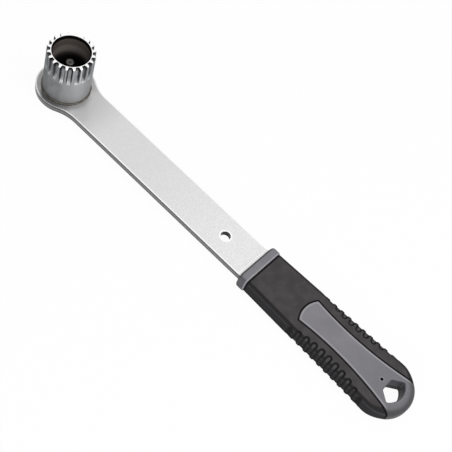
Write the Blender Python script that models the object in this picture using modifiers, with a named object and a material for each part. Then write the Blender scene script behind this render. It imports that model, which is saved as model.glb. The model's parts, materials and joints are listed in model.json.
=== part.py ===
"""Bottom bracket tool: a splined socket on a flat steel arm with a two-material moulded handle.

The frame is in metres. The origin lies on the socket's axis at the arm's back face, +X runs along
the arm to the handle, and +Z is the socket's axis, out of its splined end.
"""

from math import acos, asin, atan2, cos, hypot, pi, radians, sin, sqrt, tan

import bmesh
import bpy
from mathutils import Matrix, Vector

MM = 0.001

# Fits
CLEARANCE = 0.3 * MM
CUT_PAST = 2.0 * MM
BURIED = 1.0 * MM

# Arm, stamped from flat bar
ARM_THICKNESS = 4.5 * MM
BAR_WIDTH = 28.0 * MM
HEAD_RIM = 4.3 * MM
NECK_FILLET = 30.0 * MM
ARM_EDGE_ROUND = 0.5 * MM
HOLE_DIAMETER = 6.7 * MM
HOLE_FROM_HANDLE = 25.8 * MM

# Splined socket
SPLINE_DIAMETER = 32.0 * MM
SPLINE_DEPTH = 2.5 * MM
SPLINE_COUNT = 20
SPLINE_LENGTH = 14.6 * MM
TOOTH_TIP_WIDTH = 1.2 * MM
TOOTH_ROOT_WIDTH = 1.8 * MM
RUN_OUT_RADIUS = 6.0 * MM
RIM_LAND = 1.3 * MM
TOOTH_CHAMFER = 0.8 * MM
BORE_CHAMFER = 0.7 * MM
SOCKET_HEIGHT = 35.0 * MM
SOCKET_FLOOR = 4.0 * MM
FLOOR_FILLET = 1.5 * MM
BRAZE_LEG = 0.6 * MM

# Guide pin in the middle of the socket
PIN_DIAMETER = 5.8 * MM
PIN_BELOW_RIM = 10.4 * MM
PIN_CHAMFER = 0.8 * MM
PIN_DIMPLE_DIAMETER = 1.6 * MM
PIN_DIMPLE_DEPTH = 0.7 * MM

# Handle
HANDLE_START = 175.5 * MM
HANDLE_LENGTH = 129.5 * MM
HANDLE_THICKNESS = 11.8 * MM
GRIP_SIDE_WALL = 2.6 * MM
GRIP_FACE_WALL = 1.6 * MM
TAIL_RADIUS = 19.7 * MM
SIDE_EDGE_ROUND = 2.4 * MM
TAIL_EDGE_ROUND = 4.4 * MM
EDGE_REACH = 0.9 * MM
CORE_EDGE_ROUND = 0.8 * MM
COLLAR_LENGTH = 6.7 * MM
COLLAR_WALL = 2.0 * MM
COLLAR_PROUD = 0.7 * MM
COLLAR_FRONT_ROUND = 2.0 * MM
COLLAR_REAR_ROUND = 0.7 * MM
BAR_IN_COLLAR = 4.0 * MM

# Tang of the arm inside the handle
TANG_WIDTH = 20.0 * MM
TANG_LENGTH = 80.0 * MM
ANCHOR_DIAMETER = 8.0 * MM
ANCHOR_PITCH = 30.0 * MM
FIRST_ANCHOR = 22.0 * MM

# Inlay faces of the handle's core, which widen into the tail loop
INLAY_FROM_START = 42.5 * MM
INLAY_WAIST = 16.0 * MM
INLAY_WAIST_FROM_START = 71.5 * MM
INLAY_SIDE_RADIUS = 225.0 * MM
INLAY_TIP_RADIUS = 16.5 * MM
INLAY_CORNER = 0.8 * MM
INLAY_PROUD = 0.2 * MM
PARTING_WIDTH = 1.0 * MM
PARTING_DEPTH = 1.2 * MM
LOOP_WALL = 7.7 * MM
HANG_HOLE_FLAT = 9.1 * MM
HANG_HOLE_SPREAD = 18.6 * MM
HANG_HOLE_LENGTH = 11.0 * MM
HANG_HOLE_CORNER = 1.0 * MM
HANG_HOLE_EDGE_ROUND = 1.0 * MM
CUT_OVER = 0.05 * MM
PINHOLE_DIAMETER = 2.0 * MM
PINHOLE_DEPTH = 2.0 * MM
PINHOLE_FROM_HANG_HOLE = 4.7 * MM

# Finger grooves, carried from the upper face over each side of the grip to its lower face
GROOVE_COUNT = 12
GROOVE_PITCH = 5.88 * MM
GROOVES_PAST_WAIST = 0.6 * MM
GROOVE_WIDTH = 4.2 * MM
GROOVE_WALL = 0.9 * MM
GROOVE_DEPTH = 0.75 * MM
GROOVE_END = 12.6 * MM
GROOVE_END_RADIUS = 90.0 * MM

# Round steps
TURN_STEPS = 100
SMALL_TURN_STEPS = 40
ARC_STEPS = 24
TAIL_STEPS = 32
EDGE_STEPS = 3

# What follows from the sizes above
BAR_HALF = BAR_WIDTH / 2
TANG_HALF = TANG_WIDTH / 2
SPLINE_RADIUS = SPLINE_DIAMETER / 2
SPLINE_ROOT_RADIUS = SPLINE_RADIUS - SPLINE_DEPTH
BORE_RADIUS = SPLINE_ROOT_RADIUS - RIM_LAND
HEAD_RADIUS = SPLINE_RADIUS + HEAD_RIM
PIN_RADIUS = PIN_DIAMETER / 2
ARM_MIDDLE = ARM_THICKNESS / 2
RIM_Z = ARM_THICKNESS + SOCKET_HEIGHT
SEAT_Z = ARM_THICKNESS + CLEARANCE
HANDLE_HALF = HANDLE_THICKNESS / 2
HANDLE_FRONT_HALF = BAR_HALF + COLLAR_WALL
HANDLE_END = HANDLE_START + HANDLE_LENGTH
TAIL_CENTRE = HANDLE_END - TAIL_RADIUS
COLLAR_END = HANDLE_START + COLLAR_LENGTH
TANG_START = HANDLE_START + BAR_IN_COLLAR
TANG_END = TANG_START + TANG_LENGTH
WAIST_X = HANDLE_START + INLAY_WAIST_FROM_START
HANG_ARC_RADIUS = TAIL_RADIUS - LOOP_WALL
HANG_HOLE_START = TAIL_CENTRE + HANG_ARC_RADIUS - HANG_HOLE_LENGTH
EDGE_MEAN_RADIUS = SIDE_EDGE_ROUND + EDGE_REACH / 2


def clear_scene():
    for obj in list(bpy.data.objects):
        bpy.data.objects.remove(obj, do_unlink=True)


def new_collection(name):
    collection = bpy.data.collections.new(name)
    bpy.context.scene.collection.children.link(collection)
    return collection


clear_scene()
TOOL = new_collection("bottom_bracket_tool")
CUTTERS = new_collection("cutters")


def material(name, colour, roughness, metallic):
    made = bpy.data.materials.new(name)
    made.use_nodes = True
    shader = made.node_tree.nodes["Principled BSDF"]
    shader.inputs["Base Color"].default_value = (*colour, 1.0)
    shader.inputs["Roughness"].default_value = roughness
    shader.inputs["Metallic"].default_value = metallic
    return made


def add_object(name, mesh, collection, finish=None):
    obj = bpy.data.objects.new(name, mesh)
    collection.objects.link(obj)
    if finish:
        mesh.materials.append(finish)
    else:
        obj.hide_render = True
        obj.display_type = "WIRE"
    return obj


def shade_round(mesh, angle=30):
    mesh.shade_smooth()
    mesh.set_sharp_from_angle(angle=radians(angle))


def boolean(obj, operation, other):
    modifier = obj.modifiers.new(f"{operation.lower()} {other.name}", "BOOLEAN")
    modifier.operation = operation
    modifier.solver = "EXACT"
    modifier.object = other


def bevel(obj, width, segments, angle):
    modifier = obj.modifiers.new("rounded edges", "BEVEL")
    modifier.width = width
    modifier.segments = segments
    modifier.limit_method = "ANGLE"
    modifier.angle_limit = radians(angle)


def arc(centre, radius, start, end, steps):
    """Points along an arc. Angles are in radians."""
    turns = [start + (end - start) * step / steps for step in range(steps + 1)]
    return [(centre[0] + radius * cos(a), centre[1] + radius * sin(a)) for a in turns]


def mirrored(half):
    """A closed outline from its upper half. Points on the X axis aren't repeated."""
    return half + [(x, -y) for x, y in reversed(half) if y > 1e-9]


def slab_mesh(name, outline, bottom, top, holes=()):
    """A flat outline with holes in it, extruded between two heights."""
    curve = bpy.data.curves.new(name, "CURVE")
    curve.dimensions = "2D"
    curve.fill_mode = "BOTH"
    curve.extrude = (top - bottom) / 2
    for loop in (outline, *holes):
        spline = curve.splines.new("POLY")
        spline.points.add(len(loop) - 1)
        for point, (x, y) in zip(spline.points, loop):
            point.co = (x, y, 0, 1)
        spline.use_cyclic_u = True
    guide = bpy.data.objects.new(name + "_outline", curve)
    TOOL.objects.link(guide)
    guide.location.z = (top + bottom) / 2
    graph = bpy.context.evaluated_depsgraph_get()
    mesh = bpy.data.meshes.new_from_object(guide.evaluated_get(graph))
    mesh.transform(Matrix.Translation((0, 0, (top + bottom) / 2)))
    bpy.data.objects.remove(guide)
    shape = bmesh.new()
    shape.from_mesh(mesh)
    bmesh.ops.remove_doubles(shape, verts=shape.verts, dist=1e-6)
    bmesh.ops.dissolve_limit(
        shape, angle_limit=radians(0.5), verts=shape.verts, edges=shape.edges
    )
    bmesh.ops.recalc_face_normals(shape, faces=shape.faces)
    shape.to_mesh(mesh)
    shape.free()
    mesh.name = name
    return mesh


def turned_object(name, profile, finish, steps):
    """A profile of (radius, height) points turned about Z. It starts and ends on the axis, or is closed."""
    shape = bmesh.new()
    points = [shape.verts.new((radius, 0, height)) for radius, height in profile]
    for first, second in zip(points, points[1:]):
        shape.edges.new((first, second))
    if profile[0][0] > 0:
        shape.edges.new((points[-1], points[0]))
    mesh = bpy.data.meshes.new(name)
    shape.to_mesh(mesh)
    shape.free()
    obj = add_object(name, mesh, TOOL, finish)
    turn = obj.modifiers.new("turned", "SCREW")
    turn.steps = turn.render_steps = steps
    turn.use_merge_vertices = True
    turn.merge_threshold = 1e-6
    turn.use_normal_calculate = False
    return obj


def loft_into(shape, rings):
    """Skins closed rings of the same number of points, and caps both ends."""
    loops = [[shape.verts.new(point) for point in ring] for ring in rings]
    for lower, upper in zip(loops, loops[1:]):
        for i, corner in enumerate(lower):
            j = (i + 1) % len(lower)
            shape.faces.new((corner, lower[j], upper[j], upper[i]))
    shape.faces.new(reversed(loops[0]))
    shape.faces.new(loops[-1])


def loft_mesh(name, *bodies):
    shape = bmesh.new()
    for rings in bodies:
        loft_into(shape, rings)
    bmesh.ops.recalc_face_normals(shape, faces=shape.faces)
    mesh = bpy.data.meshes.new(name)
    shape.to_mesh(mesh)
    shape.free()
    return mesh


def upper_arm_half():
    """From the tang's end along the bar, round the neck's fillet and to the top of the head."""
    neck_y = BAR_HALF + NECK_FILLET
    neck_x = sqrt((HEAD_RADIUS + NECK_FILLET) ** 2 - neck_y**2)
    lean = atan2(neck_y, neck_x)
    tang = [(TANG_END, TANG_HALF), (TANG_START, TANG_HALF), (TANG_START, BAR_HALF)]
    neck = arc((neck_x, neck_y), NECK_FILLET, -pi / 2, lean - pi, ARC_STEPS // 3)
    head = arc((0, 0), HEAD_RADIUS, lean, pi, ARC_STEPS)
    return tang + neck + head[1:-1] + [(-HEAD_RADIUS, 0)]


def anchor_places():
    return [(TANG_START + FIRST_ANCHOR + n * ANCHOR_PITCH, 0) for n in range(2)]


def circle(centre, diameter, steps):
    return arc(centre, diameter / 2, 0, 2 * pi, steps)[:-1]


def make_arm():
    steel = material("satin_steel", (0.66, 0.66, 0.67), 0.38, 1.0)
    hole = circle((HANDLE_START - HOLE_FROM_HANDLE, 0), HOLE_DIAMETER, SMALL_TURN_STEPS)
    anchors = [circle(place, ANCHOR_DIAMETER, ARC_STEPS) for place in anchor_places()]
    mesh = slab_mesh("arm", mirrored(upper_arm_half()), 0, ARM_THICKNESS, (hole, *anchors))
    shade_round(mesh)
    arm = add_object("arm", mesh, TOOL, steel)
    bevel(arm, ARM_EDGE_ROUND, 2, 60)


def groove_rings(turn):
    """One gap between two teeth, as a form cutter leaves it: straight, then running out in an arc."""
    pitch = 2 * pi / SPLINE_COUNT
    root_gap = SPLINE_ROOT_RADIUS * pitch - TOOTH_ROOT_WIDTH
    tip_gap = SPLINE_RADIUS * pitch - TOOTH_TIP_WIDTH
    flare = (tip_gap - root_gap) / SPLINE_DEPTH
    outside = SPLINE_RADIUS + CUT_PAST
    sweep = acos(1 - (SPLINE_DEPTH + CLEARANCE) / RUN_OUT_RADIUS)
    run_out = RUN_OUT_RADIUS * sin(acos(1 - SPLINE_DEPTH / RUN_OUT_RADIUS))
    straight_end = RIM_Z - SPLINE_LENGTH + run_out
    levels = [(RIM_Z + CUT_PAST, SPLINE_ROOT_RADIUS)]
    for x, y in arc((0, 0), RUN_OUT_RADIUS, 0, sweep, 6):
        levels.append((straight_end - y, SPLINE_ROOT_RADIUS + RUN_OUT_RADIUS - x))
    rings = []
    for height, radius in levels:
        half_root = root_gap / 2
        half_outside = (root_gap + flare * (outside - radius)) / 2
        section = [(radius, half_root), (radius, -half_root), (outside, -half_outside), (outside, half_outside)]
        rings.append([turn @ Vector((*corner, height)) for corner in section])
    return rings


def make_socket():
    steel = material("turned_steel", (0.42, 0.42, 0.43), 0.42, 1.0)
    floor_z = SEAT_Z + SOCKET_FLOOR
    pin_hole = PIN_RADIUS + CLEARANCE
    floor_corner = arc((BORE_RADIUS - FLOOR_FILLET, floor_z + FLOOR_FILLET), FLOOR_FILLET, 0, -pi / 2, 4)
    profile = [
        (BORE_RADIUS + BORE_CHAMFER, RIM_Z),
        (SPLINE_RADIUS - TOOTH_CHAMFER, RIM_Z),
        (SPLINE_RADIUS, RIM_Z - TOOTH_CHAMFER),
        (SPLINE_RADIUS, SEAT_Z),
        (pin_hole, SEAT_Z),
        (pin_hole, floor_z),
        *reversed(floor_corner),
        (BORE_RADIUS, RIM_Z - BORE_CHAMFER),
    ]
    socket = turned_object("socket", profile, steel, TURN_STEPS)
    turns = [Matrix.Rotation((n + 0.5) * 2 * pi / SPLINE_COUNT, 3, "Z") for n in range(SPLINE_COUNT)]
    gaps = loft_mesh("spline_gaps", *[groove_rings(turn) for turn in turns])
    boolean(socket, "DIFFERENCE", add_object("spline_gaps", gaps, CUTTERS))


def make_braze_fillet():
    braze = material("heat_darkened_braze", (0.10, 0.08, 0.06), 0.6, 1.0)
    inner = SPLINE_RADIUS + CLEARANCE
    hollow = arc((inner + BRAZE_LEG, SEAT_Z + BRAZE_LEG), BRAZE_LEG, pi, 1.5 * pi, 3)
    profile = [(inner, SEAT_Z + BRAZE_LEG), *hollow[1:], (inner, SEAT_Z)]
    turned_object("braze_fillet", profile, braze, 2 * SMALL_TURN_STEPS)


def make_guide_pin():
    steel = material("pin_steel", (0.38, 0.38, 0.39), 0.45, 1.0)
    top = RIM_Z - PIN_BELOW_RIM
    profile = [
        (0, top - PIN_DIMPLE_DEPTH),
        (PIN_DIMPLE_DIAMETER / 2, top),
        (PIN_RADIUS - PIN_CHAMFER, top),
        (PIN_RADIUS, top - PIN_CHAMFER),
        (PIN_RADIUS, SEAT_Z),
        (0, SEAT_Z),
    ]
    turned_object("guide_pin", profile, steel, SMALL_TURN_STEPS)


def side_lean():
    """The angle at which the handle's sides spread from the collar to meet the round tail."""
    length = TAIL_CENTRE - HANDLE_START
    return asin(TAIL_RADIUS / hypot(length, HANDLE_FRONT_HALF)) - atan2(HANDLE_FRONT_HALF, length)


def handle_half_width(x):
    return HANDLE_FRONT_HALF + (x - HANDLE_START) * tan(side_lean())


def handle_outline(front):
    """Points and outward normals round the handle's plan, from its far front corner round the tail."""
    front_half = handle_half_width(front)
    side = pi / 2 + side_lean()
    turns = [side - 2 * side * step / TAIL_STEPS for step in range(TAIL_STEPS + 1)]
    tail = [(TAIL_CENTRE + TAIL_RADIUS * cos(a), TAIL_RADIUS * sin(a), cos(a), sin(a)) for a in turns]
    first = (front, front_half, cos(side), sin(side))
    last = (front, -front_half, cos(side), -sin(side))
    return [first, *tail, last]


def handle_form(name, front, inset, half_thickness):
    """The handle's pebble shape, drawn in by an inset. Its soft edges are wider than they are high."""
    outline = handle_outline(front)
    rounds = []
    for _, _, normal_x, _ in outline:
        towards_tail = min(max(normal_x, 0) * 1.5, 1)
        blend = towards_tail * towards_tail * (3 - 2 * towards_tail)
        outer_round = SIDE_EDGE_ROUND + (TAIL_EDGE_ROUND - SIDE_EDGE_ROUND) * blend
        rounds.append(max(outer_round - inset, CORE_EDGE_ROUND))
    levels = [(-1, step) for step in range(EDGE_STEPS + 1)]
    levels += [(1, step) for step in reversed(range(EDGE_STEPS + 1))]
    rings = []
    for side, step in levels:
        turn = pi / 2 * step / EDGE_STEPS
        ring = []
        for (x, y, normal_x, normal_y), edge in zip(outline, rounds):
            inwards = inset + (edge + EDGE_REACH) * (1 - sin(turn))
            height = ARM_MIDDLE + side * (half_thickness - edge + edge * cos(turn))
            sideways = y - normal_y * inwards
            along = x if x == front else x - normal_x * inwards
            ring.append((along, sideways, height))
        rings.append(ring)
    return loft_mesh(name, rings)


def inlay_outline(grow):
    """The inlay's plan: a rounded tip and hollow sides, carried on past the tail."""
    side_centre = INLAY_WAIST / 2 + INLAY_SIDE_RADIUS
    side_radius = INLAY_SIDE_RADIUS - grow
    tip_centre = HANDLE_START + INLAY_FROM_START + INLAY_TIP_RADIUS
    tip_radius = INLAY_TIP_RADIUS + grow
    end = HANDLE_END + CUT_PAST

    def side_y(x):
        return side_centre - sqrt(side_radius**2 - (x - WAIST_X) ** 2)

    corner = tip_centre - tip_radius
    for _ in range(30):
        corner = tip_centre - sqrt(tip_radius**2 - side_y(corner) ** 2)
    reach = asin(side_y(corner) / tip_radius)
    tip = arc((tip_centre, 0), tip_radius, pi, pi - reach, ARC_STEPS // 3)[1:]
    xs = [corner + (end - corner) * step / ARC_STEPS for step in range(1, ARC_STEPS + 1)]
    return mirrored([(tip_centre - tip_radius, 0), *tip, *[(x, side_y(x)) for x in xs]])


def inlay_cutter(name, grow, bottom, top):
    mesh = slab_mesh(name, inlay_outline(grow), bottom, top)
    cutter = add_object(name, mesh, CUTTERS)
    bevel(cutter, INLAY_CORNER, 3, 40)
    return cutter


def soft_rectangle(half_width, half_height):
    """A rectangle with the handle's soft corners, which are wider than they are high."""
    reach = SIDE_EDGE_ROUND + EDGE_REACH
    quarter = arc((0, 0), 1, 0, pi / 2, EDGE_STEPS)
    corner = [
        (half_width - reach * (1 - out), half_height - SIDE_EDGE_ROUND * (1 - up)) for out, up in quarter
    ]
    upper = corner + [(-y, z) for y, z in reversed(corner)]
    return upper + [(y, -z) for y, z in reversed(upper)]


def collar_rings():
    half_width = HANDLE_FRONT_HALF + COLLAR_PROUD
    half_height = HANDLE_HALF + COLLAR_PROUD
    levels = []
    for step in range(EDGE_STEPS + 1):
        turn = pi / 2 * step / EDGE_STEPS
        along = HANDLE_START + COLLAR_FRONT_ROUND * (1 - cos(turn))
        levels.append((along, COLLAR_FRONT_ROUND * (1 - sin(turn))))
    levels.append((COLLAR_END - COLLAR_REAR_ROUND, 0))
    levels.append((COLLAR_END, COLLAR_REAR_ROUND))
    rings = []
    for x, inset in levels:
        section = soft_rectangle(half_width - inset, half_height - inset)
        rings.append([(x, y, ARM_MIDDLE + z) for y, z in section])
    return rings


def core_form(name, front, grow):
    """The core under the rubber, which is the handle's form drawn in by the rubber's walls."""
    inset = GRIP_SIDE_WALL + CLEARANCE - grow
    half_thickness = HANDLE_HALF - GRIP_FACE_WALL - CLEARANCE + grow
    return add_object(name, handle_form(name, front, inset, half_thickness), CUTTERS)


def hang_hole_outline():
    half_flat = HANG_HOLE_FLAT / 2
    spread = asin(HANG_HOLE_SPREAD / 2 / HANG_ARC_RADIUS)
    round_end = arc((TAIL_CENTRE, 0), HANG_ARC_RADIUS, spread, -spread, ARC_STEPS // 2)
    return [(HANG_HOLE_START, -half_flat), (HANG_HOLE_START, half_flat), *round_end]


def rounded_corners(outline, radius):
    """Replaces each sharp corner of an outline by an arc tangent to its two sides."""
    rounded = []
    for before, corner, after in zip(outline[-1:] + outline[:-1], outline, outline[1:] + outline[:1]):
        here = Vector(corner)
        back = (Vector(before) - here).normalized()
        ahead = (Vector(after) - here).normalized()
        half = back.angle(ahead) / 2
        if half > radians(75):
            rounded.append(here)
            continue
        centre = here + (back + ahead).normalized() * radius / sin(half)
        first = here + back * radius / tan(half) - centre
        last = here + ahead * radius / tan(half) - centre
        for step in range(EDGE_STEPS + 1):
            rounded.append(centre + first.lerp(last, step / EDGE_STEPS).normalized() * radius)
    return rounded


def grown(outline, distance):
    """A clockwise outline moved outwards, with its corners kept."""
    moved = []
    for before, here, after in zip(outline[-1:] + outline[:-1], outline, outline[1:] + outline[:1]):
        first = (here - before).orthogonal().normalized()
        second = (after - here).orthogonal().normalized()
        moved.append(here + (first + second) * distance / (1 + first.dot(second)))
    return moved


def hang_hole_rings():
    """The hang hole's outline at each height: straight through the loop, and rounded at both faces."""
    outline = rounded_corners(hang_hole_outline(), HANG_HOLE_CORNER)
    face = HANDLE_HALF + INLAY_PROUD + CUT_OVER
    levels = [(face + CUT_PAST, HANG_HOLE_EDGE_ROUND)]
    for turn in (pi / 2, pi / 4, 0):
        depth = HANG_HOLE_EDGE_ROUND * (1 - sin(turn))
        levels.append((face - depth, HANG_HOLE_EDGE_ROUND * (1 - cos(turn))))
    levels += [(-height, growth) for height, growth in reversed(levels)]
    return [[(*point, ARM_MIDDLE + height) for point in grown(outline, growth)] for height, growth in levels]


def make_handle_core():
    grey = material("grey_nylon", (0.20, 0.20, 0.22), 0.5, 0.0)
    below = ARM_MIDDLE - HANDLE_HALF - CUT_PAST
    above = ARM_MIDDLE + HANDLE_HALF + CUT_PAST
    faces = handle_form("handle_core", COLLAR_END, 0, HANDLE_HALF + INLAY_PROUD)
    core = add_object("handle_core", faces, TOOL, grey)
    boolean(core, "INTERSECT", inlay_cutter("inlay_block", 0, below, above))
    boolean(core, "UNION", core_form("core_body", COLLAR_END - BURIED, 0))
    boolean(core, "UNION", add_object("collar_block", loft_mesh("collar_block", collar_rings()), CUTTERS))
    fit_bar = BAR_HALF + CLEARANCE
    fit_tang = TANG_HALF + CLEARANCE
    pocket = mirrored(
        [
            (TANG_END + CLEARANCE, fit_tang),
            (TANG_START + CLEARANCE, fit_tang),
            (TANG_START + CLEARANCE, fit_bar),
            (HANDLE_START - CUT_PAST, fit_bar),
        ]
    )
    cavity = slab_mesh("tang_pocket", pocket, -CLEARANCE, ARM_THICKNESS + CLEARANCE)
    boolean(core, "DIFFERENCE", add_object("tang_pocket", cavity, CUTTERS))
    for number, place in enumerate(anchor_places()):
        name = f"anchor_post_{number + 1}"
        post = slab_mesh(
            name,
            circle(place, ANCHOR_DIAMETER - 2 * CLEARANCE, ARC_STEPS),
            -CLEARANCE - BURIED,
            ARM_THICKNESS + CLEARANCE + BURIED,
        )
        boolean(core, "UNION", add_object(name, post, CUTTERS))
    hang_hole = loft_mesh("hang_hole_cutter", hang_hole_rings())
    boolean(core, "DIFFERENCE", add_object("hang_hole_cutter", hang_hole, CUTTERS))
    pinhole = slab_mesh(
        "pinhole_cutter",
        circle((HANG_HOLE_START - PINHOLE_FROM_HANG_HOLE, 0), PINHOLE_DIAMETER, ARC_STEPS // 2),
        ARM_MIDDLE + HANDLE_HALF + INLAY_PROUD - PINHOLE_DEPTH,
        above,
    )
    boolean(core, "DIFFERENCE", add_object("pinhole_cutter", pinhole, CUTTERS))


def groove_places():
    """Each finger groove's place along the handle, and its end's travel from the middle line."""
    places = []
    for n in range(GROOVE_COUNT):
        along = (n - (GROOVE_COUNT - 1) / 2) * GROOVE_PITCH
        end = GROOVE_END + GROOVE_END_RADIUS - sqrt(GROOVE_END_RADIUS**2 - along**2)
        places.append((WAIST_X + GROOVES_PAST_WAIST + along, end))
    return places


def grip_surface(half_width, travel):
    """A point of the upper half section and its outward normal, this far round from the middle line."""
    reach = SIDE_EDGE_ROUND + EDGE_REACH
    flat = half_width - reach
    turn = (travel - flat) / EDGE_MEAN_RADIUS
    if turn < 0:
        return travel, HANDLE_HALF, 0, 1
    if turn > pi / 2:
        fall = EDGE_MEAN_RADIUS * (turn - pi / 2)
        return half_width, HANDLE_HALF - SIDE_EDGE_ROUND - fall, 1, 0
    out, up = sin(turn), cos(turn)
    normal = Vector((SIDE_EDGE_ROUND * out, reach * up)).normalized()
    return flat + reach * out, HANDLE_HALF - SIDE_EDGE_ROUND * (1 - up), *normal


def groove_stations(half_width, start):
    """Travel, depth and floor half width along half a groove: it dips in at its round end."""
    half = GROOVE_WIDTH / 2
    flat = half_width - SIDE_EDGE_ROUND - EDGE_REACH
    stations = [(start - GROOVE_WALL / 3, -GROOVE_DEPTH / 3, GROOVE_WALL / 3)]
    for share in (0.1, 0.4, 1.0):
        dip = share * GROOVE_WALL
        stations.append((start + dip, share * GROOVE_DEPTH, sqrt(half**2 - (half - dip) ** 2) - dip))
    stations.append((start + half, GROOVE_DEPTH, half - GROOVE_WALL))
    for step in range(EDGE_STEPS + 1):
        travel = flat + EDGE_MEAN_RADIUS * pi / 2 * step / EDGE_STEPS
        if travel > start + half + BURIED / 3:
            stations.append((travel, GROOVE_DEPTH, half - GROOVE_WALL))
    return stations


def groove_cutter_rings(x, start, side):
    """A groove with sloping walls, swept from its upper end over the grip's side to its lower end."""
    half_width = handle_half_width(x)
    slope = GROOVE_WALL / GROOVE_DEPTH
    proud = GROOVE_DEPTH
    upper = []
    for travel, depth, floor_half in groove_stations(half_width, start):
        out, up, normal_out, normal_up = grip_surface(half_width, travel)
        top_half = floor_half + slope * (depth + proud)
        floor = (out - normal_out * depth, up - normal_up * depth)
        top = (out + normal_out * proud, up + normal_up * proud)
        upper.append([(-floor_half, *floor), (floor_half, *floor), (top_half, *top), (-top_half, *top)])
    lower = [[(along, out, -up) for along, out, up in ring] for ring in reversed(upper)]
    return [
        [(x + along, side * out, ARM_MIDDLE + up) for along, out, up in ring] for ring in upper + lower
    ]


def finger_grooves():
    bodies = [groove_cutter_rings(*place, side) for place in groove_places() for side in (1, -1)]
    return add_object("finger_grooves", loft_mesh("finger_grooves", *bodies), CUTTERS)


def make_grip():
    rubber = material("black_rubber", (0.045, 0.045, 0.047), 0.7, 0.0)
    below = ARM_MIDDLE - HANDLE_HALF - CUT_PAST
    above = ARM_MIDDLE + HANDLE_HALF + CUT_PAST
    form = handle_form("grip", COLLAR_END + CLEARANCE, 0, HANDLE_HALF)
    grip = add_object("grip", form, TOOL, rubber)
    boolean(grip, "DIFFERENCE", finger_grooves())
    boolean(grip, "DIFFERENCE", core_form("core_room", COLLAR_END - BURIED, CLEARANCE))
    boolean(grip, "DIFFERENCE", inlay_cutter("inlay_window", CLEARANCE, below, above))
    upper = ARM_MIDDLE + HANDLE_HALF - PARTING_DEPTH
    lower = ARM_MIDDLE - HANDLE_HALF + PARTING_DEPTH
    boolean(grip, "DIFFERENCE", inlay_cutter("upper_parting_groove", PARTING_WIDTH, upper, above))
    boolean(grip, "DIFFERENCE", inlay_cutter("lower_parting_groove", PARTING_WIDTH, below, lower))


make_arm()
make_socket()
make_braze_fillet()
make_guide_pin()
make_handle_core()
make_grip()
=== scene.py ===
"""A bottom bracket tool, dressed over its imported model: steel arm and splined socket, moulded handle."""

import json
from functools import cached_property
from math import acos, asin, atan2, cos, hypot, pi, radians, sin, sqrt, tan

import bmesh
import bpy
from mathutils import Matrix, Vector

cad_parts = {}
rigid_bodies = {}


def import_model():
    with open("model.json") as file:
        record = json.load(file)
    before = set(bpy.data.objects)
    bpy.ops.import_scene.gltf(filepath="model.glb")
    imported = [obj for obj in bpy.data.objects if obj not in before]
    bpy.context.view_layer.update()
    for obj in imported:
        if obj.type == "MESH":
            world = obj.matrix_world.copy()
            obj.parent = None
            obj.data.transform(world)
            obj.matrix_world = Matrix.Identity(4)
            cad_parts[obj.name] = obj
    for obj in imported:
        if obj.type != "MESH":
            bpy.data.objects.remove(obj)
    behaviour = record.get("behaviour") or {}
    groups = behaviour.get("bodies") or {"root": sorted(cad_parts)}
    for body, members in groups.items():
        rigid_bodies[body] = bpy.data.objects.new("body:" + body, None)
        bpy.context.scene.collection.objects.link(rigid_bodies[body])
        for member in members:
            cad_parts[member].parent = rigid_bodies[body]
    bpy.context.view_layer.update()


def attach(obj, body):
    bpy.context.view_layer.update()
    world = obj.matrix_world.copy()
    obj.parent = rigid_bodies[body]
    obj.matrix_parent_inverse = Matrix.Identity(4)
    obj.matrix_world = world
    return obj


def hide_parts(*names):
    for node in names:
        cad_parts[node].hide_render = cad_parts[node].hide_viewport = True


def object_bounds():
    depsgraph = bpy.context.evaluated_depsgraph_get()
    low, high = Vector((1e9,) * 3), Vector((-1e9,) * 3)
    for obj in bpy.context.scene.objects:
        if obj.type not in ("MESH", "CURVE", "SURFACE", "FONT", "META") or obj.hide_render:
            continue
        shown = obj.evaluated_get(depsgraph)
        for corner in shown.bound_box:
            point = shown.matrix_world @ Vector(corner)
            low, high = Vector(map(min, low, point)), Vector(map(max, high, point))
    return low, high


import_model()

MM = 0.001

# Fits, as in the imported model
CLEARANCE = 0.3 * MM
CUT_PAST = 2.0 * MM
BURIED = 1.0 * MM

# Arm
ARM_THICKNESS = 4.5 * MM
BAR_WIDTH = 28.0 * MM
HEAD_RIM = 4.3 * MM
NECK_FILLET = 30.0 * MM
ARM_EDGE_ROUND = 0.5 * MM
HOLE_DIAMETER = 6.7 * MM
HOLE_FROM_HANDLE = 25.8 * MM

# Splined socket
SPLINE_DIAMETER = 32.0 * MM
SPLINE_DEPTH = 2.5 * MM
SPLINE_COUNT = 20
SPLINE_LENGTH = 14.6 * MM
TOOTH_TIP_WIDTH = 1.2 * MM
TOOTH_ROOT_WIDTH = 1.8 * MM
RUN_OUT_RADIUS = 6.0 * MM
RIM_LAND = 1.3 * MM
TOOTH_CHAMFER = 0.8 * MM
BORE_CHAMFER = 0.7 * MM
GAP_CORNER_ROUND = 0.12 * MM
SOCKET_HEIGHT = 35.0 * MM
SOCKET_FLOOR = 4.0 * MM
FLOOR_FILLET = 1.5 * MM
BRAZE_LEG = 0.6 * MM
BRAZE_OVERLAP = 0.2 * MM
TURNED_LINES_PER_METRE = 5000.0

# Guide pin
PIN_DIAMETER = 5.8 * MM
PIN_BELOW_RIM = 10.4 * MM
PIN_CHAMFER = 0.8 * MM
PIN_DIMPLE_DIAMETER = 1.6 * MM
PIN_DIMPLE_DEPTH = 0.7 * MM

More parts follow.
